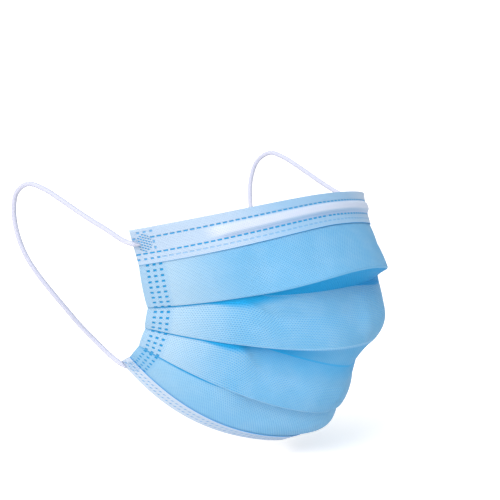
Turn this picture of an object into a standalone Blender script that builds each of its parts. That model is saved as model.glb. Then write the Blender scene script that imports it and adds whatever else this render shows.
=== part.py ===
"""Pleated surgical face mask, opened to its worn form, as separate closed solids.

Metres, +Z up. The face goes in from +Y and the pleated front points to -Y.
The origin is the middle of the top edge of the pleated body, where the mask sits on a nose.
"""

import math

import bpy
import bmesh
import numpy as np

# Worn form of the pleated body
HALF_WIDTH = 0.0761
FACE_DEPTH = 0.100
FACE_HEIGHT = 0.110
PLEAT_DEPTH = 0.0115
SIDE_PLEAT_DEPTH = 0.0070

# Cloth, bindings and clearances
BODY_WALL = 0.0010
BINDING_WALL = 0.0010
LAYER_GAP = 0.0003
TOP_BINDING_HEIGHT = 0.0165
BOTTOM_BINDING_HEIGHT = 0.0100

# Nose wire in its channel under the top binding
WIRE_LENGTH = 0.100
WIRE_WIDTH = 0.0040
WIRE_THICKNESS = 0.0007
WIRE_DROP = 0.0078
CHANNEL_RAMP = 0.0015

# Ear loops
CORD_DIAMETER = 0.0021
CORD_SEGMENTS = 38

# Mesh fineness
COLUMNS = 36
PANEL_ROWS = 3
NUDGE = 0.01

# One row for each line that crosses the mask from side edge to side edge, from the top down.
# half_width is a share of HALF_WIDTH, y shares are of FACE_DEPTH, z shares and sag of FACE_HEIGHT.
# The powers say how late the line turns back, seen from above, and rises or drops, seen in front.
LINE_COLUMNS = ("half_width", "front_y", "front_z", "side_y", "side_z", "plan_power", "rise_power", "sag")
LINES = {
    "top": (1.000, 0.000, 0.000, 0.352, -0.097, 1.98, 1.85, -0.002),
    "upper": (0.940, -0.097, -0.111, 0.344, -0.233, 2.27, 1.86, -0.005),
    "lip_1": (0.798, -0.265, -0.262, 0.404, -0.415, 2.62, 2.27, -0.019),
    "lip_2": (0.733, -0.247, -0.562, 0.469, -0.509, 2.34, 1.87, -0.014),
    "lip_3": (0.689, -0.087, -0.847, 0.539, -0.591, 2.08, 1.87, -0.019),
    "lower": (0.611, 0.089, -0.970, 0.657, -0.661, 1.67, 2.10, -0.041),
    "bottom": (0.591, 0.179, -1.003, 0.729, -0.692, 1.60, 1.81, -0.056),
}
LINE_ORDER = tuple(LINES)
EDGE_BENDS = {"top": ("upper", TOP_BINDING_HEIGHT), "bottom": ("lower", BOTTOM_BINDING_HEIGHT)}

# The lines lie on the outer face of the mask. The middle of the body's cloth is half its wall
# below that, and deeper where a binding covers it.
BARE_INSET = BODY_WALL / 2.0
COVERED_INSET = BINDING_WALL + LAYER_GAP + BODY_WALL / 2.0
BODY_EDGE = BINDING_WALL + LAYER_GAP

# One row for each pleat, named by its lip: how far its return layer is swung open from behind the
# panel above at the middle of the mask, in degrees, and the power with which it shuts sideways.
PLEAT_COLUMNS = ("opening", "shut_power")
PLEATS = {
    "lip_1": (91.0, 1.8),
    "lip_2": (136.0, 2.0),
    "lip_3": (43.0, 1.5),
}

# Under a pleat the cloth comes forward again in two steps, given as shares of the way down from
# the crease where the pleat is open, and by a short run below the lip where it is shut
TUCK_SHARE = 0.42
EMERGE_SHARE = 0.62
TUCK_RUN = 0.0006
EMERGE_RUN = 0.0038
SHUT_ANGLE = 35.0

# Route of the ear loop on the -X side, in millimetres, from its weld on the top binding, round
# the back of the ear, to its weld on the bottom binding
CORD_ROUTE_MM = (
    (-72.0, 30.5, -16.1),
    (-73.6, 32.1, -16.6),
    (-75.9, 34.3, -15.9),
    (-76.2, 40.0, -14.6),
    (-75.4, 49.1, -11.7),
    (-75.7, 58.2, -8.5),
    (-76.3, 67.1, -4.9),
    (-76.7, 76.0, -1.2),
    (-77.2, 85.1, 2.2),
    (-77.7, 94.6, 3.6),
    (-77.4, 102.6, -1.2),
    (-76.3, 105.6, -10.2),
    (-75.0, 104.9, -19.7),
    (-73.1, 102.0, -28.7),
    (-70.1, 97.8, -36.9),
    (-66.1, 93.5, -44.6),
    (-61.3, 90.0, -52.2),
    (-56.2, 86.8, -59.7),
    (-51.0, 82.0, -67.3),
    (-47.7, 76.4, -73.4),
    (-45.6, 69.6, -77.9),
    (-44.4, 66.0, -80.5),
)
MM = 0.001

SPUNBOND_BLUE = (0.42, 0.68, 0.92, 1.0)
BINDING_PALE = (0.78, 0.87, 0.97, 1.0)
ELASTIC_WHITE = (0.86, 0.88, 0.94, 1.0)
WIRE_WHITE = (0.80, 0.82, 0.84, 1.0)


def unit(vector):
    return vector / np.linalg.norm(vector)


def make_material(name, colour, roughness, metallic=0.0):
    material = bpy.data.materials.new(name)
    material.use_nodes = True
    shader = material.node_tree.nodes["Principled BSDF"]
    shader.inputs["Base Color"].default_value = colour
    shader.inputs["Roughness"].default_value = roughness
    shader.inputs["Metallic"].default_value = metallic
    material.diffuse_color = colour
    return material


def swept(share, front, side, plan_power, rise_power, sag):
    """Point of a line at share of the way from the middle (0) to a side edge (-1 or 1)."""
    size = abs(share)
    half_width = side[0]
    y = front[1] + (side[1] - front[1]) * size ** plan_power
    bow = sag * FACE_HEIGHT * 4.0 * size ** 2 * (1.0 - size ** 2)
    z = front[2] + (side[2] - front[2]) * size ** rise_power + bow
    return np.array((share * half_width, y, z))


def line_ends(name):
    row = dict(zip(LINE_COLUMNS, LINES[name]))
    front = np.array((0.0, row["front_y"] * FACE_DEPTH, row["front_z"] * FACE_HEIGHT))
    side = np.array((row["half_width"] * HALF_WIDTH, row["side_y"] * FACE_DEPTH,
                     row["side_z"] * FACE_HEIGHT))
    return front, side, row["plan_power"], row["rise_power"], row["sag"]


def outer_point(name, share):
    return swept(share, *line_ends(name))


def across(point_at, share):
    """Direction of a line towards +X at share, found from two points near it."""
    low = max(share - NUDGE, -1.0)
    high = min(share + NUDGE, 1.0)
    return unit(point_at(high) - point_at(low))


def inward(name, share):
    """Direction from the front of the mask towards the face, square to the cloth at a line."""
    place = LINE_ORDER.index(name)
    before = LINE_ORDER[max(place - 1, 0)]
    after = LINE_ORDER[min(place + 1, len(LINE_ORDER) - 1)]
    down = outer_point(after, share) - outer_point(before, share)
    return unit(np.cross(across(lambda s: outer_point(name, s), share), down))


def line_point(name, share):
    """Middle of the body's cloth at a line."""
    inset = BARE_INSET if name in PLEATS else COVERED_INSET
    return outer_point(name, share) + inset * inward(name, share)


def blunt_step(arriving, leaving, inner):
    """Direction across a fold, from the layer that arrives to the layer that leaves."""
    return unit(unit(arriving) + unit(leaving) + 0.8 * inner)


def pleat_rows(name, share, arriving_from):
    """Lip, crease and the way forward again of one pleat, each fold as two points a layer apart."""
    row = dict(zip(PLEAT_COLUMNS, PLEATS[name]))
    layer = BODY_WALL + LAYER_GAP
    facing = inward(name, share)
    lip = line_point(name, share)
    following = line_point(LINE_ORDER[LINE_ORDER.index(name) + 1], share)
    up = unit(arriving_from - lip)
    down = unit(following - lip)
    inner = unit(facing - float(np.dot(facing, up)) * up)
    opening = row["opening"] * (1.0 - share ** 2) ** row["shut_power"]
    swing = math.radians(opening)
    back = math.cos(swing) * up + math.sin(swing) * inner
    depth = PLEAT_DEPTH + (SIDE_PLEAT_DEPTH - PLEAT_DEPTH) * share ** 4
    lip_back = lip + layer * blunt_step(-up, back, inner)
    crease = lip_back + depth * back
    crease_back = crease + layer * blunt_step(back, following - crease, inner)
    way = following - crease_back
    shut = max(0.0, 1.0 - opening / SHUT_ANGLE)
    behind_lip = lip + 2.0 * layer * inner + TUCK_RUN * down
    tuck = (1.0 - shut) * (crease_back + TUCK_SHARE * way) + shut * behind_lip
    emerge = (1.0 - shut) * (crease_back + EMERGE_SHARE * way) + shut * (lip + EMERGE_RUN * down)
    return [lip, lip_back, crease, crease_back, tuck, emerge]


def panel(start, end):
    """Points down a flat stretch, in short rows that follow its twist from side to side."""
    return [start + (end - start) * row / PANEL_ROWS for row in range(PANEL_ROWS + 1)]


def body_section(share):
    """Middle of the cloth down one column, from the top edge to the bottom edge."""
    points = panel(edge_walk("top", share, BODY_EDGE), edge_bend("top", share))
    for name in PLEATS:
        rows = pleat_rows(name, share, points[-1])
        points += panel(points[-1], rows[0])[1:] + rows[1:]
    points += panel(points[-1], edge_bend("bottom", share))[1:]
    return points + panel(points[-1], edge_walk("bottom", share, BODY_EDGE))[1:]


def edge_walk(edge, share, distance):
    """Middle of the cloth at a distance in from the top or bottom edge, along one column."""
    start = line_point(edge, share)
    return start + distance * unit(line_point(EDGE_BENDS[edge][0], share) - start)


def edge_bend(edge, share):
    """Where the cloth bends, just past the binding of an edge."""
    return edge_walk(edge, share, EDGE_BENDS[edge][1] + 2.0 * LAYER_GAP)


def edge_point(edge, share, distance):
    """Middle of the cloth at a distance in from an edge, and the way inward, square to it there."""
    along = edge_walk(edge, share, 1.0) - edge_walk(edge, share, 0.0)
    down = along if edge == "top" else -along
    sideways = across(lambda s: edge_walk(edge, s, distance), share)
    return edge_walk(edge, share, distance), unit(np.cross(sideways, down))


def share_at_length(edge, length):
    """Share of the way to the side edge where the edge line is length long from the middle."""
    steps = 400
    walked = 0.0
    before = line_point(edge, 0.0)
    for step in range(1, steps + 1):
        share = step / steps
        here = line_point(edge, share)
        walked += np.linalg.norm(here - before)
        before = here
        if walked >= length:
            return share
    return 1.0


def column_shares(limit=1.0):
    count = max(2, 2 * round(COLUMNS * limit / 2))
    return [limit * (2.0 * column / count - 1.0) for column in range(count + 1)]


def sheet_object(name, sections, wall, material):
    """Closed solid: a grid of cloth, one list of points for each column, given its wall."""
    shape = bmesh.new()
    grid = [[shape.verts.new(point) for point in section] for section in sections]
    for left, right in zip(grid, grid[1:]):
        for row in range(len(left) - 1):
            shape.faces.new((left[row], left[row + 1], right[row + 1], right[row]))
    bmesh.ops.recalc_face_normals(shape, faces=shape.faces)
    mesh = bpy.data.meshes.new(name)
    shape.to_mesh(mesh)
    shape.free()
    mesh.materials.append(material)
    mesh.shade_smooth()
    mesh.set_sharp_from_angle(angle=math.radians(35.0))
    sheet = bpy.data.objects.new(name, mesh)
    bpy.context.collection.objects.link(sheet)
    thick = sheet.modifiers.new("wall", 'SOLIDIFY')
    thick.thickness = wall
    thick.offset = 0.0
    thick.use_even_offset = True
    return sheet


def pleated_body(material):
    sections = [body_section(share) for share in column_shares()]
    return sheet_object("pleated_body", sections, BODY_WALL, material)


def channel_rise(share, distance):
    """How far the top binding stands off the body to make room for the wire, from 0 to 1."""
    column = 2.0 / COLUMNS
    end = share_at_length("top", WIRE_LENGTH / 2.0) + column
    along = min(1.0, max(0.0, 1.0 + (end - abs(share)) / column))
    edge = WIRE_WIDTH / 2.0 + LAYER_GAP
    down = min(1.0, max(0.0, 1.0 + (edge - abs(distance - WIRE_DROP)) / CHANNEL_RAMP))
    return along * down


def binding(name, edge, distances, material, rise=None):
    """Strip folded over an edge of the body, with a leaf on the outside and one on the inside."""
    stand_off = BODY_WALL / 2.0 + LAYER_GAP + BINDING_WALL / 2.0
    sections = []
    for share in column_shares():
        crest, edge_facing = edge_point(edge, share, BINDING_WALL / 2.0)
        inner_leaf = []
        outer_leaf = []
        for distance in distances:
            point, facing = edge_point(edge, share, distance)
            lift = stand_off
            if rise is not None:
                lift += (WIRE_THICKNESS + LAYER_GAP) * rise(share, distance)
            inner_leaf.append(point + stand_off * facing)
            outer_leaf.append(point - lift * facing)
        turn = [crest + stand_off * edge_facing, crest - stand_off * edge_facing]
        sections.append(inner_leaf[::-1] + turn + outer_leaf)
    return sheet_object(name, sections, BINDING_WALL, material)


def top_binding(material):
    half = WIRE_WIDTH / 2.0 + LAYER_GAP
    below = WIRE_DROP + half + CHANNEL_RAMP
    distances = (WIRE_DROP - half - CHANNEL_RAMP, WIRE_DROP - half, WIRE_DROP + half, below,
                 (below + TOP_BINDING_HEIGHT) / 2.0, TOP_BINDING_HEIGHT)
    return binding("top_binding", "top", distances, material, channel_rise)


def bottom_binding(material):
    distances = [BOTTOM_BINDING_HEIGHT * row / PANEL_ROWS for row in range(1, PANEL_ROWS + 1)]
    return binding("bottom_binding", "bottom", distances, material)


def nose_wire(material):
    stand_off = BODY_WALL / 2.0 + LAYER_GAP + WIRE_THICKNESS / 2.0
    limit = share_at_length("top", WIRE_LENGTH / 2.0)
    sections = []
    for share in column_shares(limit):
        rows = []
        for distance in (WIRE_DROP - WIRE_WIDTH / 2.0, WIRE_DROP + WIRE_WIDTH / 2.0):
            point, facing = edge_point("top", share, distance)
            rows.append(point - stand_off * facing)
        sections.append(rows)
    return sheet_object("nose_wire", sections, WIRE_THICKNESS, material)


def smooth_route(points, count):
    """Evenly spaced points on a smooth curve through the chosen ones."""
    chosen = [np.array(point, dtype=float) for point in points]
    padded = [2.0 * chosen[0] - chosen[1]] + chosen + [2.0 * chosen[-1] - chosen[-2]]
    fine = []
    for index in range(1, len(padded) - 2):
        p0, p1, p2, p3 = padded[index - 1:index + 3]
        for step in range(24):
            s = step / 24.0
            fine.append(0.5 * (2.0 * p1 + (p2 - p0) * s + (2.0 * p0 - 5.0 * p1 + 4.0 * p2 - p3) * s ** 2
                               + (3.0 * p1 - p0 - 3.0 * p2 + p3) * s ** 3))
    fine.append(chosen[-1])
    fine = np.array(fine)
    walked = np.concatenate(((0.0,), np.cumsum(np.linalg.norm(np.diff(fine, axis=0), axis=1))))
    wanted = np.linspace(0.0, walked[-1], count)
    return np.stack([np.interp(wanted, walked, fine[:, axis]) for axis in range(3)], axis=1)


def ear_loop(name, side, material):
    """Round elastic on one side: side is -1 for -X, as the route is given, or 1 for +X."""
    route = smooth_route(CORD_ROUTE_MM, CORD_SEGMENTS) * MM
    route[:, 0] *= -side
    curve = bpy.data.curves.new(name, 'CURVE')
    curve.dimensions = '3D'
    curve.bevel_depth = CORD_DIAMETER / 2.0
    curve.bevel_resolution = 2
    curve.use_fill_caps = True
    spline = curve.splines.new('POLY')
    spline.points.add(len(route) - 1)
    for point, place in zip(spline.points, route):
        point.co = (*place, 1.0)
    curve.materials.append(material)
    loop = bpy.data.objects.new(name, curve)
    bpy.context.collection.objects.link(loop)
    return loop


def main():
    for old in list(bpy.data.objects):
        bpy.data.objects.remove(old, do_unlink=True)
    pleated_body(make_material("spunbond_blue", SPUNBOND_BLUE, 0.85))
    top_binding(make_material("binding_pale", BINDING_PALE, 0.80))
    bottom_binding(make_material("hem_pale", BINDING_PALE, 0.80))
    nose_wire(make_material("wire_coated", WIRE_WHITE, 0.45))
    ear_loop("ear_loop_right", -1, make_material("elastic_right", ELASTIC_WHITE, 0.75))
    ear_loop("ear_loop_left", 1, make_material("elastic_left", ELASTIC_WHITE, 0.75))


main()
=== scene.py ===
import math

import bpy
import numpy as np
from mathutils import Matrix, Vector, noise


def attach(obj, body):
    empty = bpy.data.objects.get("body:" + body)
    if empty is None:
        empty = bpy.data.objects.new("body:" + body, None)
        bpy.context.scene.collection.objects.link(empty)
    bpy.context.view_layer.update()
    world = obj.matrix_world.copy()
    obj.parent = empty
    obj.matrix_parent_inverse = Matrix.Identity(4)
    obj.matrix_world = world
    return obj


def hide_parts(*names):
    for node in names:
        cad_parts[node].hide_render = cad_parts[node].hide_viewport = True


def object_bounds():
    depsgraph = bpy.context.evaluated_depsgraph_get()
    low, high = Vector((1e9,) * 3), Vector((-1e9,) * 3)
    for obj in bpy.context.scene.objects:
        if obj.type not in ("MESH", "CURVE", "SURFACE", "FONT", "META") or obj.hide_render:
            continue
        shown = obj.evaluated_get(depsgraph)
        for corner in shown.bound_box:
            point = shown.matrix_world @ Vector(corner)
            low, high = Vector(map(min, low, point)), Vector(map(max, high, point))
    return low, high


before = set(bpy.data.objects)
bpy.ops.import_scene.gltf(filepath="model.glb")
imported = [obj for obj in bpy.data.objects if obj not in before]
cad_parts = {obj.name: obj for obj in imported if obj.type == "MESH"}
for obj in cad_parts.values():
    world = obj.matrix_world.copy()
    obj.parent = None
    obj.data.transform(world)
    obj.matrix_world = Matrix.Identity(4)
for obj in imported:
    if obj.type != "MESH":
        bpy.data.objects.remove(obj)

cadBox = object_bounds()
print("frame loaded:", len(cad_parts), "nodes")

mm = 0.001

# Camera first: it looks at the near front corner, as the photo does

cameraSetup = {
    "azimuth": 47.9, "elevation": 9.3, "distance": 0.862, "lens": 147.2, "sensor": 36, "clip": 10 * mm,
    # target is where the aim lies in the picture, right and up, and shift moves it in the mask's own axes
    "target": (-31.7 * mm, -30.4 * mm), "shift": (0.0, -5.5 * mm, 7.4 * mm),
}


def addCamera(setup):
    turn, lift = math.radians(setup["azimuth"]), math.radians(setup["elevation"])
    right = Vector((math.cos(turn), -math.sin(turn), 0.0))
    back = Vector((-math.sin(turn) * math.cos(lift), -math.cos(turn) * math.cos(lift), math.sin(lift)))
    up = back.cross(right)
    aim = right * setup["target"][0] + up * setup["target"][1] + Vector(setup["shift"])
    bpy.ops.object.camera_add(location=aim + back * setup["distance"])
    camera = bpy.context.object
    camera.name = "photoCamera"
    camera.rotation_mode = 'QUATERNION'
    camera.rotation_quaternion = back.to_track_quat('Z', 'Y')
    camera.data.sensor_width = setup["sensor"]
    camera.data.lens = setup["lens"]
    camera.data.clip_start = setup["clip"]
    bpy.context.scene.camera = camera


addCamera(cameraSetup)
print("camera placed")

# Shared mesh helpers

meshRules = {
    "smoothBelow": 50,            # degrees: edges that turn less than this are shaded smooth
    "merge": 0.01 * mm,           # points closer than this become one
    "perSpan": 24,                # fine steps between two chosen points of a curve
}


def deselectAll():
    bpy.ops.object.select_all(action='DESELECT')


def unit(vector):
    return vector / np.linalg.norm(vector)


def smooth(value):
    value = min(1.0, max(0.0, value))
    return value * value * (3.0 - 2.0 * value)


def gridSheet(name, points, maps):
    # points[column][row] are places; maps holds one (u, v) table of the same shape for each UV map
    across, down = len(points) - 1, len(points[0]) - 1
    deselectAll()
    bpy.ops.mesh.primitive_grid_add(x_subdivisions=across, y_subdivisions=down, size=1.0)
    sheet = bpy.context.object
    sheet.name = sheet.data.name = name
    mesh = sheet.data
    cell = [(round((v.co.x + 0.5) * across), round((0.5 - v.co.y) * down)) for v in mesh.vertices]
    for vertex, (column, row) in zip(mesh.vertices, cell):
        vertex.co = points[column][row]
    while mesh.uv_layers:
        mesh.uv_layers.remove(mesh.uv_layers[0])
    for mapName, table in maps.items():
        layer = mesh.uv_layers.new(name=mapName)
        for loop in mesh.loops:
            column, row = cell[loop.vertex_index]
            layer.data[loop.index].uv = table[column][row]
    mesh.update()
    return sheet


def finishWith(piece, *steps):
    bpy.context.view_layer.objects.active = piece
    for kind, values in steps:      # each modifier is added and applied in turn
        step = piece.modifiers.new(kind, kind)
        for key, value in values.items():
            setattr(step, key, value)
        bpy.ops.object.modifier_apply(modifier=step.name)
    bpy.ops.object.shade_smooth_by_angle(angle=math.radians(meshRules["smoothBelow"]))


def smoothCurve(chosen, count):
    # evenly spaced points on a smooth curve through the chosen ones
    chosen = [np.array(point, dtype=float) for point in chosen]
    padded = [2 * chosen[0] - chosen[1]] + chosen + [2 * chosen[-1] - chosen[-2]]
    fine = []
    for index in range(1, len(padded) - 2):
        before, start, end, after = padded[index - 1:index + 3]
        for step in range(meshRules["perSpan"]):
            part = step / meshRules["perSpan"]
            fine.append(0.5 * (2 * start + (end - before) * part
                               + (2 * before - 5 * start + 4 * end - after) * part ** 2
                               + (3 * start - before - 3 * end + after) * part ** 3))
    fine.append(chosen[-1])
    fine = np.array(fine)
    walked = np.concatenate(((0,), np.cumsum(np.linalg.norm(np.diff(fine, axis=0), axis=1))))
    wanted = np.linspace(0, walked[-1], count)
    return np.stack([np.interp(wanted, walked, fine[:, axis]) for axis in range(3)], axis=1)


def closedTube(name, rings, mapName, table):
    # rings[place][around] join into a tube; its first and last rings are each one point
    tube = gridSheet(name, rings, {mapName: table})
    bpy.ops.object.mode_set(mode='EDIT')
    bpy.ops.mesh.select_all(action='SELECT')
    bpy.ops.mesh.remove_doubles(threshold=meshRules["merge"])
    bpy.ops.mesh.normals_make_consistent(inside=False)
    bpy.ops.object.mode_set(mode='OBJECT')
    bpy.ops.object.shade_smooth()
    return tube


# Ear loops: a knitted round elastic, pressed flat where each end is welded on

cordLook = {
    "diameter": 2.1 * mm,
    "length": 178 * mm,
    "steps": 220,
    "sides": 16,
    "taper": 4.0 * mm,        # stretch at each end that is pressed into the weld
    "tip": 0.45,              # share of the thickness left at the very end
    # route of the loop on -X, in mm, from its weld on the top binding to its weld on the bottom one
    "route": (
        (-72.8, 31.7, -16.4), (-74.0, 32.7, -16.5), (-75.9, 34.3, -15.9), (-76.2, 40.0, -14.6),
        (-75.4, 49.1, -11.7), (-75.7, 58.2, -8.5), (-76.3, 67.1, -4.9), (-76.7, 76.0, -1.2),
        (-77.2, 85.1, 2.2), (-77.7, 94.6, 3.6), (-77.4, 102.6, -1.2), (-76.3, 105.6, -10.2),
        (-75.0, 104.9, -19.7), (-73.1, 102.0, -28.7), (-70.1, 97.8, -36.9), (-66.1, 93.5, -44.6),
        (-61.3, 90.0, -52.2), (-56.2, 86.8, -59.7), (-51.0, 82.0, -67.3), (-47.7, 76.4, -73.4),
        (-46.2, 72.0, -76.4), (-45.3, 68.8, -78.5),
    ),
}


def cordTube(name, side):
    line = smoothCurve(np.array(cordLook["route"]) * mm, cordLook["steps"] + 1)
    line[:, 0] *= -side
    sides, radius = cordLook["sides"], cordLook["diameter"] / 2
    tangents = np.gradient(line, axis=0)
    normal = unit(np.cross(unit(tangents[0]), (0.0, 0.0, 1.0)))
    spacing = np.linalg.norm(line[1] - line[0])
    rings, ringMap = [], []
    for index, (point, tangent) in enumerate(zip(line, tangents)):
        tangent = unit(tangent)
        normal = unit(normal - np.dot(normal, tangent) * tangent)
        other = np.cross(tangent, normal)
        fromEnd = min(index, len(line) - 1 - index) * spacing
        pressed = cordLook["tip"] + (1 - cordLook["tip"]) * smooth(fromEnd / cordLook["taper"])
        size = 0.0 if fromEnd == 0 else radius * pressed
        turn = [2 * math.pi * step / sides for step in range(sides + 1)]
        rings.append([point + size * (math.cos(angle) * normal + math.sin(angle) * other) for angle in turn])
        ringMap.append([(index * spacing, step / sides) for step in range(sides + 1)])
    cord = closedTube(name, rings, "alongCord", ringMap)
    length = float(np.linalg.norm(np.diff(line, axis=0), axis=1).sum())
    return cord, [tuple(point) for point in line], length


# The worn form

flatMask = {                  # the mask laid flat: its cut sizes and its folds, counted down the front
    "width": 175 * mm,
    "topBinding": 16.5 * mm,
    "folds": {"lip1": 41.0 * mm, "lip2": 54.5 * mm, "lip3": 68.0 * mm},
    "hemStart": 85.0 * mm,
    "height": 95.0 * mm,
    "pleatDepth": 11.5 * mm,
}

# Every line runs from side edge to side edge. wide, front and side say where it lies at the middle
# and at the edges, plan how late it turns back, rise how late it climbs, sag bows it in between.
wornForm = {
    "halfWidth": 76.1 * mm,
    "depth": 100 * mm,
    "height": 110 * mm,
    "lines": {                # wide, front, side, plan, rise, sag
        "top": (1.000, (0.000, 0.000), (0.352, -0.097), 1.98, 1.85, -0.002),
        "upper": (0.940, (-0.097, -0.111), (0.344, -0.233), 2.27, 1.86, -0.005),
        "lip1": (0.798, (-0.265, -0.262), (0.404, -0.415), 2.62, 2.27, -0.019),
        "lip2": (0.733, (-0.247, -0.562), (0.469, -0.509), 2.34, 1.87, -0.014),
        "lip3": (0.689, (-0.087, -0.847), (0.539, -0.591), 2.08, 1.87, -0.019),
        "lower": (0.611, (0.089, -0.970), (0.657, -0.661), 1.67, 2.10, -0.041),
        "bottom": (0.591, (0.179, -1.003), (0.729, -0.692), 1.60, 1.81, -0.056),
    },
    "creases": {              # the hidden fold behind each lip
        "lip1": (0.904, (-0.186, -0.338), (0.366, -0.324), 2.23, 2.05, -0.012),
        "lip2": (0.756, (-0.191, -0.651), (0.418, -0.429), 1.60, 1.43, 0.003),
        "lip3": (0.745, (-0.052, -0.751), (0.494, -0.505), 1.60, 2.21, -0.012),
    },
    # shares where each pleat starts to close and where it is shut
    "shutFrom": {"lip1": (0.50, 0.90), "lip2": (0.50, 0.90), "lip3": (0.40, 0.85)},
}
lineNames = list(wornForm["lines"])
foldNames = list(wornForm["creases"])


def linePoint(name, share, kind="lines"):
    # place on one line, from the middle of the mask (0) to a side edge (-1 or 1)
    wide, (frontY, frontZ), (sideY, sideZ), plan, rise, sag = wornForm[kind][name]
    size = abs(share)
    bow = sag * 4 * size ** 2 * (1 - size ** 2)
    return np.array((share * wide * wornForm["halfWidth"],
                     (frontY + (sideY - frontY) * size ** plan) * wornForm["depth"],
                     (frontZ + (sideZ - frontZ) * size ** rise + bow) * wornForm["height"]))


def inwardAt(name, share):
    # direction from the front of the mask towards the face, square to the cloth at a line
    place = lineNames.index(name)
    above, below = lineNames[max(place - 1, 0)], lineNames[min(place + 1, len(lineNames) - 1)]
    step = 0.01
    low, high = max(share - step, -1), min(share + step, 1)
    sideways = linePoint(name, high) - linePoint(name, low)
    return unit(np.cross(sideways, linePoint(below, share) - linePoint(above, share)))


def sunk(name, share, depth):
    return linePoint(name, share) + depth * inwardAt(name, share)


def shares(count):
    return [2.0 * column / count - 1.0 for column in range(count + 1)]


def arcMap(sections, heights):
    # (u, v) for each point: u is the distance along the cloth from its middle, stretched to the cut width
    grid = np.array(sections)
    steps = np.linalg.norm(np.diff(grid, axis=0), axis=2)
    walked = np.vstack((np.zeros((1, grid.shape[1])), np.cumsum(steps, axis=0)))
    along = (walked / walked[-1] - 0.5) * flatMask["width"]
    return [[(float(u), float(v)) for u, v in zip(section, heights)] for section in along]


# Pleated body: one cut sheet, folded three times

clothLook = {
    "columns": 96,
    "wall": 0.35 * mm,
    "lipGap": 0.80 * mm,      # outer face to outer face where the cloth turns round a lip
    "creaseGap": 0.20 * mm,
    "turnIn": 0.8,            # how far the turn of a fold leans towards the face
    "tuckDrop": 0.3 * mm,     # how far below its lip a shut pleat comes out
    "foldSupport": 0.7 * mm,  # from a fold to the row beside it, which keeps the fold crisp
    "mostSupport": 0.2,       # but no more than this share of a panel
    "bulge": 0.9 * mm,
    "underBinding": 0.45 * mm,
    "hidden": 0.5 * mm,       # how far the cloth stops short of the top edge, inside the binding
    "uneven": 0.22 * mm,      # how much the cloth ripples, and how far apart the ripples are
    "ripple": 17 * mm,
    # mesh rows, as shares of the way down each stretch of cloth
    "bandRows": (0.35, 0.7, 0.95, 1.0),
    "panelRows": (0.11, 0.22, 0.33, 0.44, 0.56, 0.67, 0.78, 0.89),
    "turnedRows": (0.35, 0.65),
    "tuckRows": (0.33, 0.66, 1.0),
    "hemRows": (0.3, 0.65, 0.95),
    # soft folds on each panel, named by the line at its foot: share where the fold starts at the
    # panel's top and ends at its foot, half its width as a share, and its height in mm
    "softFolds": {
        "lip1": ((-0.53, -0.63, 0.07, -0.9), (0.46, 0.60, 0.08, -0.8), (-0.20, -0.34, 0.10, -0.4)),
        "lip2": ((0.30, 0.28, 0.26, 4.2), (0.12, 0.07, 0.06, 0.9), (-0.45, -0.30, 0.08, -0.6)),
        "lip3": ((0.36, 0.32, 0.22, 0.5), (0.12, -0.02, 0.07, 0.8), (-0.46, -0.26, 0.07, -0.9)),
        "lower": ((0.18, 0.14, 0.36, 9.0), (-0.40, -0.30, 0.09, -0.5)),
    },
    "foldCrest": {"lip1": 1.0, "lip2": 1.0, "lip3": 1.0, "lower": 0.7},     # below 1 they crest higher up
}


def panelRows(foot, start, end, startHeight, endHeight, outward):
    # rows down one panel, close together beside its folds, bowed out a little between them
    edge = min(clothLook["mostSupport"], clothLook["foldSupport"] / np.linalg.norm(end - start))
    rows = []
    for part in (edge, *clothLook["panelRows"], 1 - edge, 1.0):
        point = start + (end - start) * part + clothLook["bulge"] * 4 * part * (1 - part) * outward
        rows.append((point, startHeight + (endHeight - startHeight) * part, foot))
    return rows


def pleatRows(name, share, arriving):
    # from the lip round to where the cloth lies behind it again
    flatLip = flatMask["folds"][name]
    depth = flatMask["pleatDepth"]
    foot = lineNames[lineNames.index(name) + 1]
    facing = inwardAt(name, share)
    lip, following = linePoint(name, share), linePoint(foot, share)
    up, down = unit(arriving - lip), unit(following - lip)
    inner = unit(facing - np.dot(facing, up) * up)
    opens, closed = wornForm["shutFrom"][name]
    shut = smooth((abs(share) - opens) / (closed - opens))
    layers = clothLook["lipGap"] + clothLook["creaseGap"]
    hiddenCrease = lip + depth * up + clothLook["lipGap"] * inner
    crease = (1 - shut) * linePoint(name, share, "creases") + shut * hiddenCrease
    turnIn = clothLook["turnIn"] * inner
    lipBack = lip + clothLook["lipGap"] * unit(unit(crease - lip) - up + turnIn)
    back, run = unit(crease - lipBack), np.linalg.norm(crease - lipBack)
    way = following - crease
    creaseBack = crease + clothLook["creaseGap"] * unit(back + unit(way) + turnIn)
    behindLip = lip + layers * inner + clothLook["tuckDrop"] * down
    openTuck = creaseBack + run / np.linalg.norm(way) * (following - creaseBack)
    tuck = (1 - shut) * openTuck + shut * behindLip
    edge = clothLook["foldSupport"] / run
    rows = [(lipBack, flatLip, None)]
    for part in (edge, *clothLook["turnedRows"], 1 - edge, 1.0):
        rows.append((lipBack + part * run * back, flatLip - part * depth, None))
    rows.append((creaseBack, flatLip - depth, foot))
    for part in (edge, *clothLook["tuckRows"]):
        rows.append((creaseBack + part * (tuck - creaseBack), flatLip - depth * (1 - part), foot))
    return rows


def softLift(foot, share, part):
    lift = 0.0
    for above, below, reach, height in clothLook["softFolds"][foot]:
        away = (share - above - (below - above) * part) / reach
        lift += height * mm * math.exp(-away * away)
    return lift * math.sin(math.pi * part ** clothLook["foldCrest"][foot])


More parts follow.
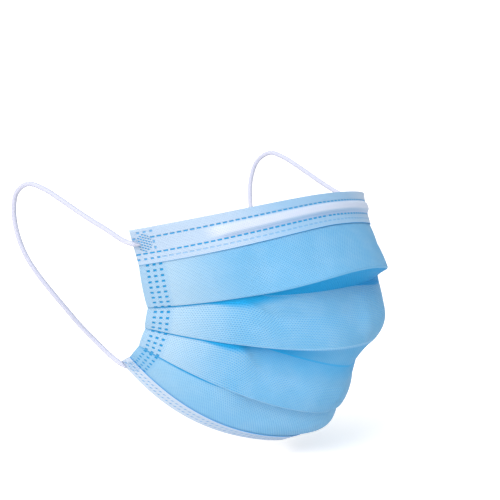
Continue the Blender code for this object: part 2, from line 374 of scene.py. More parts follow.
def bodyColumn(share):
    inset = clothLook["underBinding"]
    top, upper = sunk("top", share, inset), sunk("upper", share, inset)
    band, hem = flatMask["topBinding"], flatMask["hemStart"]
    rows = [(top + clothLook["hidden"] * unit(upper - top), clothLook["hidden"], None)]
    rows += [(top + part * (upper - top), part * band, None) for part in clothLook["bandRows"]]
    panelTop = {"lip1": band}
    for name in foldNames:
        start, startHeight, _ = rows[-1]
        rows += panelRows(name, start, linePoint(name, share), startHeight, flatMask["folds"][name],
                          -inwardAt(name, share))
        rows += pleatRows(name, share, start)
        panelTop[lineNames[lineNames.index(name) + 1]] = flatMask["folds"][name] - flatMask["pleatDepth"]
    start, startHeight, _ = rows[-1]
    lower, bottom = sunk("lower", share, inset), sunk("bottom", share, inset)
    rows += panelRows("lower", start, lower, startHeight, hem, -inwardAt("lower", share))
    rows += [(lower + part * (bottom - lower), hem + part * (flatMask["height"] - hem), None)
             for part in clothLook["hemRows"]]
    column = []
    for point, height, foot in rows:
        below = flatMask["height"]      # distance below the lip that hangs over this point
        if foot in panelTop and foot != "lip1":
            lip = linePoint(lineNames[lineNames.index(foot) - 1], share)
            below = float(np.dot(point - lip, unit(linePoint(foot, share) - lip)))
        if foot:
            footHeight = flatMask["folds"].get(foot, hem)
            part = (height - panelTop[foot]) / (footHeight - panelTop[foot])
            ripple = clothLook["uneven"] * noise.noise(Vector(point) / clothLook["ripple"])
            lift = softLift(foot, share, part) + 4 * part * (1 - part) * ripple
            point = point - lift * inwardAt(foot, share)
        column.append((point, height, below))
    return column


def pleatedBody(outside, inside):
    columns = [bodyColumn(share) for share in shares(clothLook["columns"])]
    points = [[point for point, _, _ in column] for column in columns]
    folded = [height for _, height, _ in columns[0]]
    cut = [folded[0]]
    for before, after in zip(folded, folded[1:]):
        cut.append(cut[-1] + abs(after - before))
    maps = {"cutCloth": arcMap(points, cut), "foldedCloth": arcMap(points, folded),
            "underLip": [[(below, 0.0) for _, _, below in column] for column in columns]}
    body = gridSheet("bodyCloth", points, maps)
    for material in (outside, inside):
        body.data.materials.append(material)
    finishWith(body,
               ('SUBSURF', {"levels": 1, "render_levels": 1, "boundary_smooth": 'PRESERVE_CORNERS'}),
               ('SOLIDIFY', {"thickness": clothLook["wall"], "offset": -1.0, "use_even_offset": False,
                             "material_offset": 1, "material_offset_rim": 1}))
    return body, (flatMask["width"], cut[-1] + clothLook["hidden"])


# Bindings: a strip folded over an edge, with the wire's channel in the top one

bindingLook = {
    "columns": 96,
    "wall": 0.30 * mm,
    "gap": 0.10 * mm,
    "ridgeCentre": 8.1 * mm,
    "ridgeHalf": 3.2 * mm,
    "ridgeHeight": 1.5 * mm,
    "ridgeLength": 120 * mm,
    "ridgeEnd": 7 * mm,
    "ridgeFlank": 1.7,        # the larger, the steeper its sides
    # mesh rows from the line where the strip stops to its edge, closest together on the channel
    "rows": (1.0, 0.985, 0.93, 0.86, 0.79, 0.74, 0.70, 0.66, 0.62, 0.58, 0.53,
             0.48, 0.43, 0.39, 0.35, 0.31, 0.27, 0.22, 0.16, 0.09, 0.03),
    "turnRows": (0.25, 0.75),                 # and on the turn, as shares of the way through
    "overEdge": 0.1 * mm,     # how far past the edge that turn counts as lying
}


def edgePlace(edge, bend, share, part):
    # outer face of a binding, from its edge (0) to the line where it stops (1), and the way inward there
    start, end = linePoint(edge, share), linePoint(bend, share)
    along = unit(end - start)
    facing = unit((1 - part) * inwardAt(edge, share) + part * inwardAt(bend, share))
    facing = unit(facing - np.dot(facing, along) * along)
    return start + part * (end - start), facing


def ridgeLift(along, distance):
    across = 1 - abs(distance - bindingLook["ridgeCentre"]) / bindingLook["ridgeHalf"]
    ends = (bindingLook["ridgeLength"] / 2 - abs(along)) / bindingLook["ridgeEnd"]
    return bindingLook["ridgeHeight"] * smooth(across * bindingLook["ridgeFlank"]) * smooth(ends)


def bindingStrip(name, edge, bend, height, heightAt, ridge):
    through = 2 * bindingLook["gap"] + clothLook["wall"] + 2 * bindingLook["wall"]
    sections = []
    for share in shares(bindingLook["columns"]):
        along = share * flatMask["width"] / 2
        outer, inner = [], []
        for part in bindingLook["rows"]:
            point, facing = edgePlace(edge, bend, share, part)
            lift = ridgeLift(along, part * height) if ridge else 0.0
            outer.append(point - lift * facing)
            inner.append(point + through * facing)
        crest, facing = edgePlace(edge, bend, share, 0.0)
        turn = [crest + through * part * facing for part in bindingLook["turnRows"]]
        sections.append(outer + turn + inner[::-1])
    heights = [heightAt(part * height) for part in bindingLook["rows"]]
    heights += [heightAt(-bindingLook["overEdge"]) for _ in bindingLook["turnRows"]]
    heights += [heightAt(-part * height) for part in reversed(bindingLook["rows"])]
    if edge == "top":
        sections = [section[::-1] for section in sections]
        heights = heights[::-1]
    strip = gridSheet(name, sections, {"foldedCloth": arcMap(sections, heights)})
    finishWith(strip,
               ('SUBSURF', {"levels": 1, "render_levels": 1, "boundary_smooth": 'PRESERVE_CORNERS'}),
               ('SOLIDIFY', {"thickness": bindingLook["wall"], "offset": -1.0, "use_even_offset": False}))
    return strip


# Nose wire: a flat coated strip inside the channel

wireLook = {
    "length": 100 * mm, "width": 4.0 * mm, "thick": 0.7 * mm,
    "steps": 80, "sides": 16,
    "inset": 0.02 * mm,
    "tips": (0.0, 0.6, 0.9),                  # sizes of the first rings at each end
    "square": (0.35, 0.7),                    # the lower, the squarer its section is across and through
    "around": 10 * mm,        # the length once round it
}


def squareOff(value, power):
    return math.copysign(abs(value) ** power, value)


def noseWire():
    reach = wireLook["length"] / flatMask["width"]
    part = bindingLook["ridgeCentre"] / flatMask["topBinding"]
    rings, ringMap = [], []
    for step in range(wireLook["steps"] + 1):
        share = reach * (2 * step / wireLook["steps"] - 1)
        point, facing = edgePlace("top", "upper", share, part)
        down = unit(linePoint("upper", share) - linePoint("top", share))
        fromEnd = min(step, wireLook["steps"] - step)
        size = wireLook["tips"][fromEnd] if fromEnd < len(wireLook["tips"]) else 1.0
        ring = []
        for turn in range(wireLook["sides"] + 1):
            angle = 2 * math.pi * turn / wireLook["sides"]
            wide = squareOff(math.cos(angle), wireLook["square"][0]) * wireLook["width"] / 2
            thick = squareOff(math.sin(angle), wireLook["square"][1]) * wireLook["thick"] / 2
            ring.append(point + wireLook["inset"] * facing + size * (wide * down + thick * facing))
        rings.append(ring)
        ringMap.append([(share * flatMask["width"] / 2, turn / wireLook["sides"] * wireLook["around"])
                        for turn in range(wireLook["sides"] + 1)])
    return closedTube("noseWire", rings, "alongWire", ringMap)


# Materials: shared helpers. Every length in a material is in metres, read from the cloth's own UV maps.


def newGroup(name, inputs, outputs):
    tree = bpy.data.node_groups.new(name, 'ShaderNodeTree')
    for socket in inputs:
        kind = 'NodeSocketVector' if socket == "Cloth" else 'NodeSocketFloat'
        tree.interface.new_socket(name=socket, in_out='INPUT', socket_type=kind)
    for socket in outputs:
        tree.interface.new_socket(name=socket, in_out='OUTPUT', socket_type='NodeSocketFloat')
    return tree, tree.nodes.new('NodeGroupInput').outputs, tree.nodes.new('NodeGroupOutput').inputs


def feed(tree, socket, value):
    if isinstance(value, bpy.types.NodeSocket):
        tree.links.new(value, socket)
    else:
        socket.default_value = value


def maths(tree, operation, *values):
    node = tree.nodes.new('ShaderNodeMath')
    node.operation = operation
    for socket, value in zip(node.inputs, values):
        feed(tree, socket, value)
    return node.outputs[0]


def apart(tree, first, second):
    return maths(tree, 'ABSOLUTE', maths(tree, 'SUBTRACT', first, second))


def straightLine(tree, across, down):
    # how far a point lies from another, across and down
    square = maths(tree, 'MULTIPLY', down, down)
    return maths(tree, 'SQRT', maths(tree, 'MULTIPLY_ADD', across, across, square))


def times(tree, first, *others):
    for other in others:
        first = maths(tree, 'MULTIPLY', first, other)
    return first


def ramp(tree, value, low, high, start=0.0, end=1.0):
    # goes smoothly from start to end as the value goes from low to high
    node = tree.nodes.new('ShaderNodeMapRange')
    node.interpolation_type = 'SMOOTHSTEP'
    settings = {"Value": value, "From Min": low, "From Max": high, "To Min": start, "To Max": end}
    for socket, setting in settings.items():
        feed(tree, node.inputs[socket], setting)
    return node.outputs["Result"]


def mixColour(tree, factor, first, second):
    node = tree.nodes.new('ShaderNodeMix')
    node.data_type = 'RGBA'
    feed(tree, node.inputs["Factor"], factor)
    colours = [socket for socket in node.inputs if socket.type == 'RGBA']
    for socket, value in zip(colours, (first, second)):
        feed(tree, socket, value if isinstance(value, bpy.types.NodeSocket) else (*value, 1))
    return [socket for socket in node.outputs if socket.type == 'RGBA'][0]


def useGroup(tree, group, **values):
    node = tree.nodes.new('ShaderNodeGroup')
    node.node_tree = group
    for name, value in values.items():
        feed(tree, node.inputs[name], value)
    return node.outputs


def clothPlace(tree, mapName):
    # distance along the cloth from its middle, height on it, and both as one vector
    uv = tree.nodes.new('ShaderNodeUVMap')
    uv.uv_map = mapName
    split = tree.nodes.new('ShaderNodeSeparateXYZ')
    tree.links.new(uv.outputs["UV"], split.inputs[0])
    return split.outputs["X"], split.outputs["Y"], uv.outputs["UV"]


def newMaterial(name, roughness, specular):
    material = bpy.data.materials.new(name)
    material.use_nodes = True
    shader = material.node_tree.nodes["Principled BSDF"]
    shader.inputs["Roughness"].default_value = roughness
    shader.inputs["Specular IOR Level"].default_value = specular
    return material, material.node_tree, shader


def bumped(tree, shader, height, distance):
    bump = tree.nodes.new('ShaderNodeBump')
    bump.inputs["Distance"].default_value = distance
    tree.links.new(height, bump.inputs["Height"])
    tree.links.new(bump.outputs["Normal"], shader.inputs["Normal"])


def strongest(tree, marks):
    # the strongest of several marks, each given with its strength
    most = 0.0
    for mark, strength in marks:
        most = maths(tree, 'MAXIMUM', times(tree, mark, strength), most)
    return most


def makeMarkRow():
    # one row of short marks; Line is where the row lies, First where it starts, Count how many it has
    inputs = ("Along", "Across", "First", "Line", "Pitch", "Long", "High", "Count")
    tree, given, made = newGroup("markRow", inputs, ("Mask",))
    blur = 0.15 * mm
    turns = maths(tree, 'DIVIDE', maths(tree, 'SUBTRACT', given["Along"], given["First"]), given["Pitch"])
    nearest = maths(tree, 'ROUND', turns)
    fromMark = times(tree, apart(tree, turns, nearest), given["Pitch"])
    fromLine = apart(tree, given["Across"], given["Line"])
    pastEnd = maths(tree, 'SUBTRACT', fromMark, maths(tree, 'MULTIPLY', given["Long"], 0.5))
    pastSide = maths(tree, 'SUBTRACT', fromLine, maths(tree, 'MULTIPLY', given["High"], 0.5))
    started = maths(tree, 'GREATER_THAN', nearest, -0.5)
    counted = maths(tree, 'LESS_THAN', nearest, maths(tree, 'SUBTRACT', given["Count"], 0.5))
    mask = times(tree, ramp(tree, pastEnd, blur, -blur), ramp(tree, pastSide, blur, -blur), started, counted)
    tree.links.new(mask, made["Mask"])
    return tree


weaveLook = {
    "rowShare": 0.62,         # distance between rows of bonded spots, in pitches
    "flatten": 2.2,           # how flat a spot is
    "spotFade": (0.44, 0.18),                 # where a spot fades out and where it is full, in pitches
    "fibres": 2400, "fibreHeight": 0.4,       # scale of the fine fibres, and how far they stand up
    "clouds": 110,            # scale of the slow changes in how thick the cloth is
    "detail": 3,
}


def noiseOn(tree, place, scale, detail):
    texture = tree.nodes.new('ShaderNodeTexNoise')
    texture.inputs["Scale"].default_value = scale
    texture.inputs["Detail"].default_value = detail
    tree.links.new(place, texture.inputs["Vector"])
    return texture.outputs[0]


def makeNonWoven():
    # staggered bonded spots over fine loose fibres, with slow changes in how thick the cloth is
    tree, given, made = newGroup("nonWoven", ("Cloth", "Pitch"), ("Spots", "Clouds", "Height"))
    split = tree.nodes.new('ShaderNodeSeparateXYZ')
    tree.links.new(given["Cloth"], split.inputs[0])
    row = maths(tree, 'DIVIDE', split.outputs["Y"], times(tree, given["Pitch"], weaveLook["rowShare"]))
    nearestRow = maths(tree, 'ROUND', row)
    inPitches = maths(tree, 'DIVIDE', split.outputs["X"], given["Pitch"])
    column = maths(tree, 'MULTIPLY_ADD', nearestRow, 0.5, inPitches)
    offColumn = maths(tree, 'SUBTRACT', column, maths(tree, 'ROUND', column))
    offRow = maths(tree, 'SUBTRACT', row, nearestRow)
    flattened = times(tree, offRow, weaveLook["rowShare"] * weaveLook["flatten"])
    spots = ramp(tree, straightLine(tree, offColumn, flattened), *weaveLook["spotFade"])
    fibres = noiseOn(tree, given["Cloth"], weaveLook["fibres"], weaveLook["detail"])
    clouds = noiseOn(tree, given["Cloth"], weaveLook["clouds"], weaveLook["detail"])
    height = maths(tree, 'SUBTRACT', times(tree, fibres, weaveLook["fibreHeight"]), spots)
    for name, value in (("Spots", spots), ("Clouds", clouds), ("Height", height)):
        tree.links.new(value, made[name])
    return tree


markRow, nonWoven = makeMarkRow(), makeNonWoven()
noLimit = 99                  # more marks than a row has room for

# Body cloth: blue outside, white inside, both pressed by the side welds

clothFinish = {
    "blue": (0.170, 0.440, 0.700),
    "blueSheenAndThin": (0.430, 0.630, 0.800),        # painted sheen, paler towards the side edges; also the paler tone where the cloth is thin
    "sideFade": (44 * mm, 5 * mm),            # from the side edge
    "blueLowLit": (0.240, 0.525, 0.780),         # painted light: lighter and more even on the lowest panel, which faces down
    "lowLitShare": 0.75,
    "cloudFade": (0.35, 0.7), "cloudShare": 0.14,
    "bluePressed": (0.050, 0.330, 0.720),
    "spots": (0.42, 0.82),                    # how clearly the spots show at the sides and at the middle
    "spotFade": (12 * mm, 50 * mm),           # from the side edge
    "weldBlue": (0.004, 0.300, 0.680),
    "weldDepth": 2.0,                         # in depths of a bonded spot
    "inside": (0.800, 0.850, 0.920),
    "insidePressed": (0.640, 0.730, 0.860),
    "insideSpots": 0.35, "insideDots": 0.8,
    "embossPitch": 1.06 * mm,
    "embossDepth": 0.14 * mm,
    "roughness": 0.6,
    "specular": 0.2,
}
# Painted shade of each pleat on the blue: heights run down the cut sheet, and sides run out from the middle
pleatFinish = {
    "bluePaintedShade": (0.006, 0.335, 0.720),      # painted shade in an open pleat, where cloth lies on cloth
    # bonded spots inside the painted shade
    "pressedInShade": (0.002, 0.235, 0.560),
    # strength of the painted shade at the middle and at the cheeks, then how far it reaches down the
    # next panel at the side edges and at the cheeks
    "recessShade": {
        "lip1": (0.95, 1.00, 1.6 * mm, 9.6 * mm),
        "lip2": (0.32, 1.00, 1.8 * mm, 9.4 * mm),
        "lip3": (0.20, 1.00, 2.6 * mm, 3.0 * mm),
    },
    "lipStart": (-0.1 * mm, 0.25 * mm),       # down from the lip
    "cheekSides": (8 * mm, 34 * mm),
    "reachSides": (66 * mm, 40 * mm), "reachCore": 0.5,
    "edgeSides": (87 * mm, 83 * mm), "atEdge": 0.35,
    "panelReach": 1.2,                        # in pleat depths
    "creaseEdge": 0.5 * mm,
    "creaseDrop": {"lip1": 2.4 * mm, "lip2": 0.0, "lip3": 0.0},               # lower on the +X side
    "dropSides": 30 * mm,
    # a painted shadow line in the crease, and a painted shade past it
    "creaseShadowLine": {"lip1": 0.30, "lip2": 0.55, "lip3": 0.0},
    "lineFade": (0.8 * mm, 0.1 * mm),
    "creaseShade": {"lip1": 0.06, "lip2": 0.50, "lip3": 0.0},
    "shadeReach": 13 * mm,
    "shadeSides": (60 * mm, 35 * mm),
    # light that catches the lip
    "lipLight": (0.420, 0.700, 0.950),
    "lipShine": {"lip1": 0.0, "lip2": 0.32, "lip3": 0.42},
    "shineAt": -0.2 * mm,
    "shineFade": (0.5 * mm, 0.1 * mm),
}
sideWeld = {                  # columns counted in from the side edge, rows counted down the folded front
    "columnFirst": 3.6 * mm, "columnPitch": 2.75 * mm, "columns": 3,
    "rowFirst": 17.3 * mm, "rowPitch": 2.93 * mm,
    "dotWide": 1.30 * mm, "dotHigh": 1.05 * mm,
    "strip": (12.0 * mm, 10.5 * mm), "stripShare": 0.14,
}


def pressedRelief(tree, shader, weave, marks):
    relief = maths(tree, 'SUBTRACT', weave["Height"], times(tree, marks, clothFinish["weldDepth"]))
    bumped(tree, shader, relief, clothFinish["embossDepth"])


def edgeDistance(tree, along):
    return maths(tree, 'SUBTRACT', flatMask["width"] / 2, maths(tree, 'ABSOLUTE', along))


def sideDots(tree, fromEdge, height):
    dots = 0.0
    for column in range(sideWeld["columns"]):
        mark = useGroup(tree, markRow, Along=height, Across=fromEdge, First=sideWeld["rowFirst"],
                        Line=sideWeld["columnFirst"] + column * sideWeld["columnPitch"], Count=noLimit,
                        Pitch=sideWeld["rowPitch"], Long=sideWeld["dotHigh"], High=sideWeld["dotWide"])
        dots = maths(tree, 'MAXIMUM', mark["Mask"], dots)
    return dots


def lipHeight(name):
    # where a lip lies on the cut sheet: each pleat above it takes its depth twice more
    return flatMask["folds"][name] + 2 * foldNames.index(name) * flatMask["pleatDepth"]


def pleatPaintedShade(tree, name, along, cut, below):
    # how strongly one pleat paints shade on the cloth: in its recess, in the line of its crease, and past
    # the crease
    finish, depth, lip = pleatFinish, flatMask["pleatDepth"], lipHeight(name)
    fromMiddle = maths(tree, 'ABSOLUTE', along)
    atMiddle, atCheek, narrow, deep = finish["recessShade"][name]
    crease = maths(tree, 'ADD', ramp(tree, along, 0.0, finish["dropSides"], 0.0, finish["creaseDrop"][name]),
                   lip + depth)
    # painted shade on the layer that turns in behind the lip
    inside = times(tree, ramp(tree, cut, *[lip + past for past in finish["lipStart"]]),
                   ramp(tree, cut, maths(tree, 'ADD', crease, finish["creaseEdge"]), crease),
                   ramp(tree, fromMiddle, *finish["cheekSides"], atMiddle, atCheek))
    # and the soft shade that it leaves on the next panel, wider where the pleat stands open
    onNext = maths(tree, 'LESS_THAN', apart(tree, cut, lip + 2 * depth), finish["panelReach"] * depth)
    reach = ramp(tree, fromMiddle, *finish["reachSides"], narrow, deep)
    streak = times(tree, ramp(tree, below, reach, times(tree, reach, finish["reachCore"])), onNext,
                   ramp(tree, fromMiddle, *finish["edgeSides"], finish["atEdge"], atCheek))
    # painted shadow line in the crease, and painted shade past it
    line = ramp(tree, apart(tree, cut, crease), *finish["lineFade"], 0.0, finish["creaseShadowLine"][name])
    pastCrease = maths(tree, 'SUBTRACT', cut, crease)
    shade = times(tree, ramp(tree, pastCrease, finish["shadeReach"], 0.0, 0.0, finish["creaseShade"][name]),
                  maths(tree, 'GREATER_THAN', pastCrease, 0.0),
                  ramp(tree, fromMiddle, *finish["shadeSides"]))
    return maths(tree, 'MAXIMUM', inside, streak), line, shade


def blueCloth():
    finish = clothFinish
    material, tree, shader = newMaterial("spunbondBlue", finish["roughness"], finish["specular"])
    along, height, _ = clothPlace(tree, "foldedCloth")
    _, cut, cloth = clothPlace(tree, "cutCloth")
    below, _, _ = clothPlace(tree, "underLip")
    weave = useGroup(tree, nonWoven, Cloth=cloth, Pitch=finish["embossPitch"])
    fromEdge = edgeDistance(tree, along)
    dots = sideDots(tree, fromEdge, height)
    # painted sheen: paler towards the side edges
    colour = mixColour(tree, ramp(tree, fromEdge, *finish["sideFade"]), finish["blue"], finish["blueSheenAndThin"])
    panelTop = lipHeight(foldNames[-1]) + 2 * flatMask["pleatDepth"]
    # painted light: the lowest panel, which faces down, is painted lighter
    onLowest = ramp(tree, cut, panelTop - flatMask["pleatDepth"], panelTop, 0.0, finish["lowLitShare"])
    colour = mixColour(tree, onLowest, colour, finish["blueLowLit"])
    # paler where the cloth is thinner
    clouds = ramp(tree, weave["Clouds"], *finish["cloudFade"], 0.0, finish["cloudShare"])
    colour = mixColour(tree, clouds, colour, finish["blueSheenAndThin"])
    strip = ramp(tree, fromEdge, *sideWeld["strip"], 0.0, sideWeld["stripShare"])
    colour = mixColour(tree, strip, colour, finish["bluePressed"])
    # painted shade from each pleat, and the spots within it
    inPaintedShade = 0.0
    for name in foldNames:
        recessShade, line, shade = pleatPaintedShade(tree, name, along, cut, below)
        inPaintedShade = maths(tree, 'MAXIMUM', recessShade, inPaintedShade)
        # each pleat's painted shade, painted shadow line and painted shade past its crease
        for shadeMask in (recessShade, line, shade):
            colour = mixColour(tree, shadeMask, colour, pleatFinish["bluePaintedShade"])
    spots = times(tree, weave["Spots"], ramp(tree, fromEdge, *finish["spotFade"], *finish["spots"]))
    # spots inside the painted shade take a darker tone
    spotTone = mixColour(tree, inPaintedShade, finish["bluePressed"], pleatFinish["pressedInShade"])
    colour = mixColour(tree, spots, colour, spotTone)
    for name in foldNames:
        fromLip = apart(tree, cut, lipHeight(name) + pleatFinish["shineAt"])
        shine = ramp(tree, fromLip, *pleatFinish["shineFade"], 0.0, pleatFinish["lipShine"][name])
        colour = mixColour(tree, shine, colour, pleatFinish["lipLight"])
    tree.links.new(mixColour(tree, dots, colour, finish["weldBlue"]), shader.inputs["Base Color"])
    pressedRelief(tree, shader, weave, dots)
    return material


def insideCloth():
    finish = clothFinish
    material, tree, shader = newMaterial("innerWhite", finish["roughness"], finish["specular"])
    along, height, _ = clothPlace(tree, "foldedCloth")
    _, _, cloth = clothPlace(tree, "cutCloth")
    weave = useGroup(tree, nonWoven, Cloth=cloth, Pitch=finish["embossPitch"])
    dots = sideDots(tree, edgeDistance(tree, along), height)
    pressed = strongest(tree, ((weave["Spots"], finish["insideSpots"]), (dots, finish["insideDots"])))
    colour = mixColour(tree, pressed, finish["inside"], finish["insidePressed"])
    tree.links.new(colour, shader.inputs["Base Color"])
    pressedRelief(tree, shader, weave, dots)
    return material


# Bindings: pale cloth with rows of weld marks. Rows are counted in mm from the top edge of the mask.

bindingFinish = {
    "top": ((0.310, 0.525, 0.760), (0.460, 0.600, 0.775)),        # at the middle and at the side edges
    "hem": ((0.550, 0.690, 0.870), (0.550, 0.670, 0.820)),
    "sideFade": (72 * mm, 36 * mm),
    # painted highlight on the channel's crest, and painted shade at its foot
    "paintedWireLight": (0.610, 0.690, 0.845),
    "wireFootShade": (0.420, 0.540, 0.780),
    "pressed": (0.280, 0.480, 0.770),
    "mark": (0.008, 0.320, 0.720),
    "edgeShadow": 0.8, "edgeShadowWide": 0.35 * mm,         # painted shadow: how much of that blue is painted where the strip ends on the body
    "spotShare": 0.26,
    # the wire's channel and its painted light: its ends, its crest and its foot, in halves of its width
    # where no mm is given
    "wireEnds": 8 * mm,
    "crestAt": -0.5 * mm, "crestFade": (0.95, 0.4),
    "footAt": 0.85, "footFade": 0.35, "footShare": 0.6,
    "dash": {"Pitch": 2.81 * mm, "Long": 1.90 * mm, "High": 0.66 * mm},
    "dot": {"Pitch": 2.75 * mm, "Long": 1.20 * mm, "High": 0.85 * mm},
    # each row: height, first mark, how many where they are counted, strength
    "dashRows": ((4.6, 8.6, 0.95), (11.6, 1.3, 1.0), (14.1, 11.5, 0.40)),
    "dotRows": ((1.8, 3.2, 3, 0.70), (4.3, 1.0, 1, 0.70), (14.1, 0.8, 4, 0.85)),
    "dotColumn": (8.7, 6.7, 2, 0.70),
    "hemRows": ((88.4, 3.0), (91.4, 1.6)),
    "hemMark": {"Pitch": 2.30 * mm, "Long": 0.95 * mm, "High": 1.00 * mm},
    "hemSlant": 0.8,
    "hemStrength": 0.75,
}
loopWeld = {                  # oval patch of small slanted marks that holds the elastic
    "centre": (4.8 * mm, 6.7 * mm), "half": (3.1 * mm, 4.1 * mm),
    "pitch": 1.15 * mm, "turn": 28, "strength": 0.9,
    "markSides": (0.36, 0.12), "markEnds": (0.46, 0.24),          # in pitches
    "outline": (1.04, 0.96),                  # in halves of the oval
}


def loopPatch(tree, fromEdge, height):
    weld = loopWeld
    across = maths(tree, 'SUBTRACT', fromEdge, weld["centre"][0])
    down = maths(tree, 'SUBTRACT', height, weld["centre"][1])
    away = straightLine(tree, maths(tree, 'DIVIDE', across, weld["half"][0]),
                        maths(tree, 'DIVIDE', down, weld["half"][1]))
    turn = math.radians(weld["turn"])
    cosine, sine = math.cos(turn) / weld["pitch"], math.sin(turn) / weld["pitch"]
    row = maths(tree, 'MULTIPLY_ADD', down, cosine, times(tree, across, -sine))
    nearestRow = maths(tree, 'ROUND', row)
    stagger = maths(tree, 'MULTIPLY_ADD', down, sine, times(tree, nearestRow, 0.5))
    column = maths(tree, 'MULTIPLY_ADD', across, cosine, stagger)
    offColumn = apart(tree, column, maths(tree, 'ROUND', column))
    marks = times(tree, ramp(tree, apart(tree, row, nearestRow), *weld["markSides"]),
                  ramp(tree, offColumn, *weld["markEnds"]))
    return times(tree, marks, ramp(tree, away, *weld["outline"]), weld["strength"])


def marksIn(tree, along, across, first, line, count, kind):
    row = useGroup(tree, markRow, Along=along, Across=across, First=first * mm, Line=line * mm,
                   Count=count, **kind)
    return row["Mask"]


def topMarks(tree, fromEdge, height):
    finish = bindingFinish
    marks = [(loopPatch(tree, fromEdge, height), 1.0)]
    for line, first, strength in finish["dashRows"]:
        marks.append((marksIn(tree, fromEdge, height, first, line, noLimit, finish["dash"]), strength))
    for line, first, count, strength in finish["dotRows"]:
        marks.append((marksIn(tree, fromEdge, height, first, line, count, finish["dot"]), strength))
    place, first, count, strength = finish["dotColumn"]
    marks.append((marksIn(tree, height, fromEdge, first, place, count, finish["dot"]), strength))
    return strongest(tree, marks)


def hemMarks(tree, fromEdge, height):
    finish = bindingFinish
    fromBottom = maths(tree, 'SUBTRACT', flatMask["height"], height)
    marks = [(loopPatch(tree, fromEdge, fromBottom), finish["hemStrength"])]
    for line, first in finish["hemRows"]:
        offLine = maths(tree, 'SUBTRACT', height, line * mm)
        slanted = maths(tree, 'MULTIPLY_ADD', offLine, finish["hemSlant"], fromEdge)
        row = marksIn(tree, slanted, height, first, line, noLimit, finish["hemMark"])
        marks.append((row, finish["hemStrength"]))
    return strongest(tree, marks)


def paintedWireLight(tree, along, height):
    # where light is painted on the wire's channel: 1 for a highlight on its top, and part of that for a
    # shade at its foot
    finish, half, centre = bindingFinish, bindingLook["ridgeHalf"], bindingLook["ridgeCentre"]
    reach = bindingLook["ridgeLength"] / 2
    ends = ramp(tree, maths(tree, 'ABSOLUTE', along), reach, reach - finish["wireEnds"])
    fromCrest = apart(tree, height, centre + finish["crestAt"])
    fromFoot = apart(tree, height, centre + half * finish["footAt"])
    crest = ramp(tree, fromCrest, half * finish["crestFade"][0], half * finish["crestFade"][1])
    foot = ramp(tree, fromFoot, half * finish["footFade"], 0.0)
    return times(tree, crest, ends), times(tree, foot, ends, finish["footShare"])


def bindingCloth(name, tones, stop, addMarks, wired):
    finish = bindingFinish
    material, tree, shader = newMaterial(name, clothFinish["roughness"], clothFinish["specular"])
    along, height, cloth = clothPlace(tree, "foldedCloth")
    weave = useGroup(tree, nonWoven, Cloth=cloth, Pitch=clothFinish["embossPitch"])
    fromEdge = edgeDistance(tree, along)
    colour = mixColour(tree, ramp(tree, fromEdge, *finish["sideFade"]), *tones)
    if wired:
        # painted highlight on top of the wire's channel, painted shade at its foot
        crestHighlight, footShade = paintedWireLight(tree, along, height)
        colour = mixColour(tree, crestHighlight, colour, finish["paintedWireLight"])
        colour = mixColour(tree, footShade, colour, finish["wireFootShade"])
    colour = mixColour(tree, times(tree, weave["Spots"], finish["spotShare"]), colour, finish["pressed"])
    marks = addMarks(tree, fromEdge, height)
    # a painted shadow line where the strip ends on the body, in the marks' blue
    edgeShadow = ramp(tree, apart(tree, height, stop), finish["edgeShadowWide"], 0.0, 0.0, finish["edgeShadow"])
    colour = mixColour(tree, maths(tree, 'MAXIMUM', marks, edgeShadow), colour, finish["mark"])
    tree.links.new(colour, shader.inputs["Base Color"])
    pressedRelief(tree, shader, weave, marks)
    return material


# Elastic and wire

elasticFinish = {
    "thread": (0.660, 0.690, 0.820), "gap": (0.480, 0.520, 0.700), "threadFade": (-1.0, 0.6),
    "stitch": 0.62 * mm, "wales": 6,
    "wave": 1.6,              # how far each rib runs up and down on its way round the cord
    "ribDepth": 0.05 * mm,
    "roughness": 0.6, "specular": 0.3,
}
wireFinish = {
    "coat": ((0.78, 0.80, 0.82), (0.86, 0.88, 0.90)),
    "mottle": 400, "detail": 2,
    "mottleFade": (0.3, 0.7), "roughness": (0.35, 0.5),
    "specular": 0.5,
}


def elasticKnit():
    finish = elasticFinish
    material, tree, shader = newMaterial("elasticWhite", finish["roughness"], finish["specular"])
    along, around, _ = clothPlace(tree, "alongCord")
    wave = maths(tree, 'SINE', times(tree, around, finish["wales"] * 2 * math.pi))
    turns = 2 * math.pi / finish["stitch"]
    ribs = maths(tree, 'SINE', maths(tree, 'MULTIPLY_ADD', along, turns, times(tree, wave, finish["wave"])))
    colour = mixColour(tree, ramp(tree, ribs, *finish["threadFade"]), finish["gap"], finish["thread"])
    tree.links.new(colour, shader.inputs["Base Color"])
    bumped(tree, shader, ribs, finish["ribDepth"])
    return material


def wireCoat():
    finish = wireFinish
    material, tree, shader = newMaterial("wireCoated", finish["roughness"][0], finish["specular"])
    _, _, place = clothPlace(tree, "alongWire")
    mottle = noiseOn(tree, place, finish["mottle"], finish["detail"])
    tree.links.new(mixColour(tree, mottle, *finish["coat"]), shader.inputs["Base Color"])
    rough = ramp(tree, mottle, *finish["mottleFade"], *finish["roughness"])
    tree.links.new(rough, shader.inputs["Roughness"])
    return material


blue, white, elastic, coating = blueCloth(), insideCloth(), elasticKnit(), wireCoat()
topPale = bindingCloth("topBindingPale", bindingFinish["top"], flatMask["topBinding"], topMarks, True)
hemPale = bindingCloth("hemBindingPale", bindingFinish["hem"], flatMask["hemStart"], hemMarks, False)
print("materials made")

# Build

for side, suffix in ((-1, "right"), (1, "left")):
    cord, path, length = cordTube("elastic_" + suffix, side)
    cord.data.materials.append(elastic)
    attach(cord, "root")
    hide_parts("ear_loop_" + suffix)
    print("ear loop", suffix, round(length, 4))

body, cutSize = pleatedBody(blue, white)
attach(body, "root")
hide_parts("pleated_body")
print("body", cutSize, len(body.data.polygons))

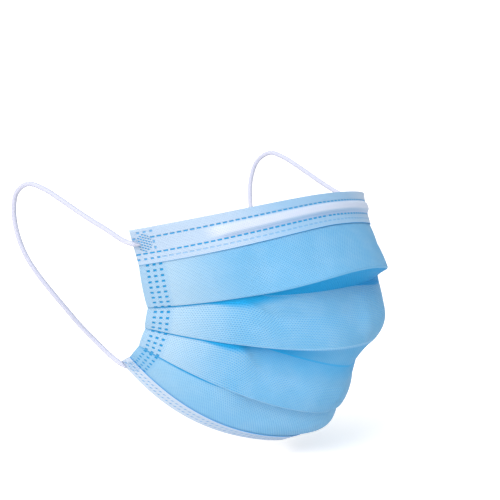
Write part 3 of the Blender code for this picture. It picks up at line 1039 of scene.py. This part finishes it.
hemHeight = flatMask["height"] - flatMask["hemStart"]
topStrip = bindingStrip("topBinding", "top", "upper", flatMask["topBinding"], lambda down: down, True)
hemStrip = bindingStrip("hemBinding", "bottom", "lower", hemHeight,
                        lambda up: flatMask["height"] - up, False)
for strip, paint, node, deep in ((topStrip, topPale, "top_binding", flatMask["topBinding"]),
                                 (hemStrip, hemPale, "bottom_binding", hemHeight)):
    strip.data.materials.append(paint)
    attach(strip, "root")
    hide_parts(node)
print("bindings made")

wire = noseWire()
wire.data.materials.append(coating)
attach(wire, "root")
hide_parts("nose_wire")
print("wire made")

# Stage: white floor, even white surround, soft key from the near side

lightSetup = {
    "ambient": 0.71, "ambientTone": (0.90, 0.95, 0.98),
    "seenWhite": 1.05,        # the surround as the camera sees it
    "lamps": {                # azimuth, elevation, strength, how wide the light is in degrees, tone
        "keyNear": (-80, 32, 2.30, 40, (1.00, 0.91, 0.86)),
        "overhead": (-30, 75, 0.6, 70, (1.00, 1.00, 1.00)),
    },
    "floor": (0.97, 0.92, 0.89), "floorSize": 8, "floorRoughness": 0.9,
    "floorGlow": 0.34,        # seen by the camera only, so that little light comes back from below
    "floorDrop": 6 * mm,
}


def addStage():
    deselectAll()
    bpy.ops.mesh.primitive_plane_add(size=lightSetup["floorSize"],
                                     location=(0, 0, cadBox[0][2] - lightSetup["floorDrop"]))
    floor = bpy.context.object
    floor.name = "paleFloor"
    material, tree, shader = newMaterial("floorWhite", lightSetup["floorRoughness"], 0.0)
    shader.inputs["Base Color"].default_value = (*lightSetup["floor"], 1)
    shader.inputs["Emission Color"].default_value = (1, 1, 1, 1)
    seen = tree.nodes.new('ShaderNodeLightPath').outputs["Is Camera Ray"]
    feed(tree, shader.inputs["Emission Strength"], maths(tree, 'MULTIPLY', seen, lightSetup["floorGlow"]))
    floor.data.materials.append(material)


def addLamp(name, azimuth, elevation, strength, wide, tone):
    turn, lift = math.radians(azimuth), math.radians(elevation)
    away = Vector((math.sin(turn) * math.cos(lift), -math.cos(turn) * math.cos(lift), math.sin(lift)))
    bpy.ops.object.light_add(type='SUN', location=away)
    lamp = bpy.context.object
    lamp.name = name
    lamp.rotation_mode = 'QUATERNION'
    lamp.rotation_quaternion = away.to_track_quat('Z', 'Y')
    lamp.data.energy = strength
    lamp.data.color = tone
    lamp.data.angle = math.radians(wide)


def addSurround():
    world = bpy.data.worlds.new("softStudio")
    bpy.context.scene.world = world
    world.use_nodes = True
    tree = world.node_tree
    background = tree.nodes["Background"].inputs
    seen = tree.nodes.new('ShaderNodeLightPath').outputs["Is Camera Ray"]
    feed(tree, background["Color"], mixColour(tree, seen, lightSetup["ambientTone"], (1, 1, 1)))
    strength = ramp(tree, seen, 0.0, 1.0, lightSetup["ambient"], lightSetup["seenWhite"])
    feed(tree, background["Strength"], strength)


addStage()
addSurround()
for lampName, lamp in lightSetup["lamps"].items():
    addLamp(lampName, *lamp)
bpy.context.scene.view_settings.view_transform = 'Standard'
print("stage and lights set")
